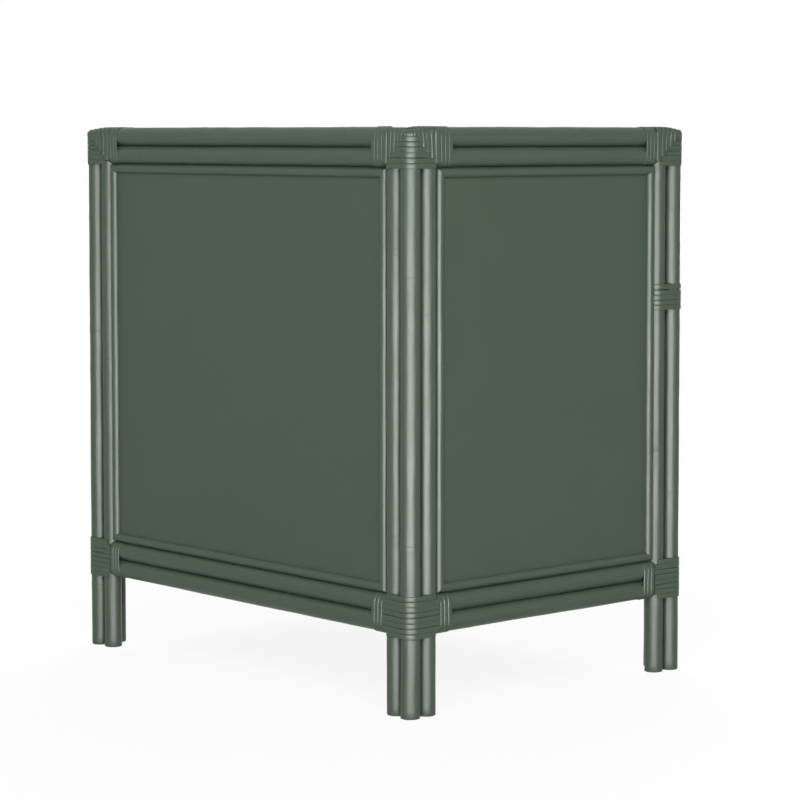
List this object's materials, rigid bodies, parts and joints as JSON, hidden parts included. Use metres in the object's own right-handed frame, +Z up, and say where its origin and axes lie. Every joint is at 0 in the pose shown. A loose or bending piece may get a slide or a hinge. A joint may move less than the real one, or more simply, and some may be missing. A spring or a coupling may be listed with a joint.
{
  "type": "nightstand",
  "caption": "Painted rattan nightstand: bundled-pole posts, stacked rails bound with peel, sunk beaded panels, an inset drawer and an open cubby.",
  "frame": {"origin": "on the floor under the middle of the whole piece, knob included", "axes": "+Z up, -Y out of the front (the way the drawer opens), +X to the right seen from the front"},
  "size_m": [0.6212, 0.4608, 0.6614],
  "materials": {
    "painted_rattan": "satin sage-green paint over rattan poles, beads and peel",
    "painted_board": "satin sage-green paint over smooth board",
    "bare_wood": "clear-sealed plywood and battens",
    "steel_screw": "zinc-plated steel"
  },
  "bodies": {
    "case": {"back_bottom_rail_lower": "painted_rattan", "back_bottom_rail_upper": "painted_rattan", "back_panel": "painted_board", "back_panel_beads": "painted_rattan", "back_top_rail_lower": "painted_rattan", "back_top_rail_upper": "painted_rattan", "bottom_courses": "painted_rattan", "bottom_rail_bands": "painted_rattan", "divider_board": "painted_board", "divider_cleats": "painted_board", "drawer_kickers": "bare_wood", "drawer_runners": "bare_wood", "floor_board": "painted_board", "floor_cleats": "bare_wood", "front_bottom_rail_lower": "painted_rattan", "front_bottom_rail_upper": "painted_rattan", "front_mid_rail": "painted_rattan", "front_top_rail_lower": "painted_rattan", "front_top_rail_upper": "painted_rattan", "left_bottom_rail_lower": "painted_rattan", "left_bottom_rail_upper": "painted_rattan", "left_panel": "painted_board", "left_panel_beads": "painted_rattan", "left_top_rail_lower": "painted_rattan", "left_top_rail_upper": "painted_rattan", "mid_courses": "painted_rattan", "mid_rail_bands": "painted_rattan", "mid_rail_batten": "painted_board", "post_back_left_back_pole": "painted_rattan", "post_back_left_corner_pole": "painted_rattan", "post_back_left_left_pole": "painted_rattan", "post_back_right_back_pole": "painted_rattan", "post_back_right_corner_pole": "painted_rattan", "post_back_right_right_pole": "painted_rattan", "post_front_left_corner_pole": "painted_rattan", "post_front_left_front_pole": "painted_rattan", "post_front_left_left_pole": "painted_rattan", "post_front_right_corner_pole": "painted_rattan", "post_front_right_front_pole": "painted_rattan", "post_front_right_right_pole": "painted_rattan", "right_bottom_rail_lower": "painted_rattan", "right_bottom_rail_upper": "painted_rattan", "right_panel": "painted_board", "right_panel_beads": "painted_rattan", "right_top_rail_lower": "painted_rattan", "right_top_rail_upper": "painted_rattan", "top_board": "painted_board", "top_cap_strips": "painted_rattan", "top_cleats": "bare_wood", "top_courses": "painted_rattan", "top_rail_bands": "painted_rattan"},
    "drawer": {"drawer_back": "bare_wood", "drawer_bottom": "bare_wood", "drawer_front": "painted_board", "drawer_front_beads": "painted_rattan", "drawer_knob": "painted_board", "drawer_left_side": "bare_wood", "drawer_right_side": "bare_wood", "knob_screw": "steel_screw"}
  },
  "joints": [
    {"name": "drawer_slide", "type": "slide", "parent": "case", "child": "drawer", "axis": [0, -1, 0], "range_m": [0, 0.29]}
  ]
}
